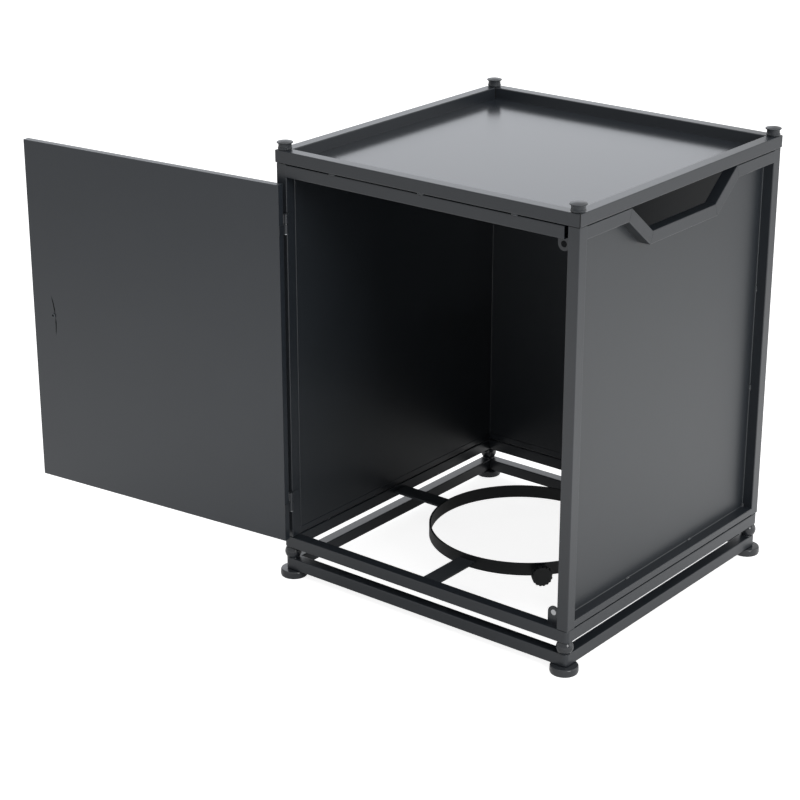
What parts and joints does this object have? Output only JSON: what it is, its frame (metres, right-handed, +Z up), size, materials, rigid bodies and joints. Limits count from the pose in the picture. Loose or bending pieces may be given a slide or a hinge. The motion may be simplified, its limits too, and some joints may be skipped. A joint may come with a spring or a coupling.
{
  "type": "propane tank cover table",
  "caption": "Square tube cabinet that hides a gas cylinder, with a shallow tray top, dipped side rails as hand holds, a swinging front door, a screw clamp ring and levelling feet.",
  "frame": {"origin": "point on the floor under the cabinet's centre, in the middle of the four feet", "axes": "+Z up, the open front and its door towards -Y, +X to the right of someone facing the front"},
  "size_m": [0.8633, 0.5216, 0.5945],
  "materials": {
    "powder_coated_steel": "charcoal satin powder coat with a fine texture",
    "zinc_plated_steel": "zinc plated turned steel",
    "moulded_nylon": "moulded black nylon",
    "nickel_plated_magnet": "nickel plated magnet"
  },
  "bodies": {
    "cabinet": {"back_bottom_rail": "powder_coated_steel", "back_panel": "powder_coated_steel", "back_strap": "powder_coated_steel", "back_top_rail": "powder_coated_steel", "base_back_tube": "powder_coated_steel", "base_front_tube": "powder_coated_steel", "base_left_tube": "powder_coated_steel", "base_right_tube": "powder_coated_steel", "bottom_rail_inserts": "zinc_plated_steel", "clamp_nut": "powder_coated_steel", "corner_thumb_nuts": "powder_coated_steel", "door_magnets": "nickel_plated_magnet", "foot_bushes": "zinc_plated_steel", "front_rail": "powder_coated_steel", "front_strap": "powder_coated_steel", "hinge_pins": "zinc_plated_steel", "left_back_post": "powder_coated_steel", "left_bottom_rail": "powder_coated_steel", "left_front_post": "powder_coated_steel", "left_handle_rail": "powder_coated_steel", "left_side_panel": "powder_coated_steel", "left_strap": "powder_coated_steel", "magnet_tabs": "powder_coated_steel", "plinth_back_tube": "powder_coated_steel", "plinth_front_tube": "powder_coated_steel", "plinth_left_tube": "powder_coated_steel", "plinth_right_tube": "powder_coated_steel", "post_end_plugs": "moulded_nylon", "post_hinge_knuckles": "powder_coated_steel", "right_back_post": "powder_coated_steel", "right_bottom_rail": "powder_coated_steel", "right_front_post": "powder_coated_steel", "right_handle_rail": "powder_coated_steel", "right_side_panel": "powder_coated_steel", "right_strap": "powder_coated_steel", "side_frame_bolts": "zinc_plated_steel", "spacer_balls": "powder_coated_steel", "tack_welds": "powder_coated_steel", "tank_ring": "powder_coated_steel", "tray_back_tube": "powder_coated_steel", "tray_front_tube": "powder_coated_steel", "tray_left_tube": "powder_coated_steel", "tray_panel": "powder_coated_steel", "tray_right_tube": "powder_coated_steel"},
    "door": {"door_outer_pan": "powder_coated_steel", "door_inner_skin": "powder_coated_steel", "door_pull": "powder_coated_steel", "door_pull_screw": "zinc_plated_steel", "door_hinge_knuckles": "powder_coated_steel"},
    "clamp_slider": {"clamp_tip": "moulded_nylon"},
    "clamp_screw": {"clamp_screw": "zinc_plated_steel", "clamp_knob": "moulded_nylon"},
    "left_front_foot": {"left_front_foot_glide": "moulded_nylon", "left_front_foot_stud": "zinc_plated_steel"},
    "right_front_foot": {"right_front_foot_glide": "moulded_nylon", "right_front_foot_stud": "zinc_plated_steel"},
    "left_back_foot": {"left_back_foot_glide": "moulded_nylon", "left_back_foot_stud": "zinc_plated_steel"},
    "right_back_foot": {"right_back_foot_glide": "moulded_nylon", "right_back_foot_stud": "zinc_plated_steel"}
  },
  "joints": [
    {"name": "door_swing", "type": "hinge", "parent": "cabinet", "child": "door", "pos_m": [-0.2102, -0.2305, 0.302], "axis": [0, 0, -1], "range_deg": [-174.3, 20.7]},
    {"name": "clamp_travel", "type": "slide", "parent": "cabinet", "child": "clamp_slider", "axis": [-0.7071, 0.7071, 0], "range_m": [0, 0.009]},
    {"name": "clamp_turn", "type": "hinge", "parent": "clamp_slider", "child": "clamp_screw", "pos_m": [0.0955, -0.0955, 0.0505], "axis": [-0.7071, 0.7071, 0], "range_deg": [0, 2592]},
    {"name": "left_front_foot_height", "type": "slide", "parent": "cabinet", "child": "left_front_foot", "axis": [0, 0, -1], "range_m": [0, 0.008]},
    {"name": "right_front_foot_height", "type": "slide", "parent": "cabinet", "child": "right_front_foot", "axis": [0, 0, -1], "range_m": [0, 0.008]},
    {"name": "left_back_foot_height", "type": "slide", "parent": "cabinet", "child": "left_back_foot", "axis": [0, 0, -1], "range_m": [0, 0.008]},
    {"name": "right_back_foot_height", "type": "slide", "parent": "cabinet", "child": "right_back_foot", "axis": [0, 0, -1], "range_m": [0, 0.008]}
  ],
  "couplings": [
    {"joint": "clamp_turn", "follows": "clamp_travel", "rad_per_m": 5026.5}
  ]
}
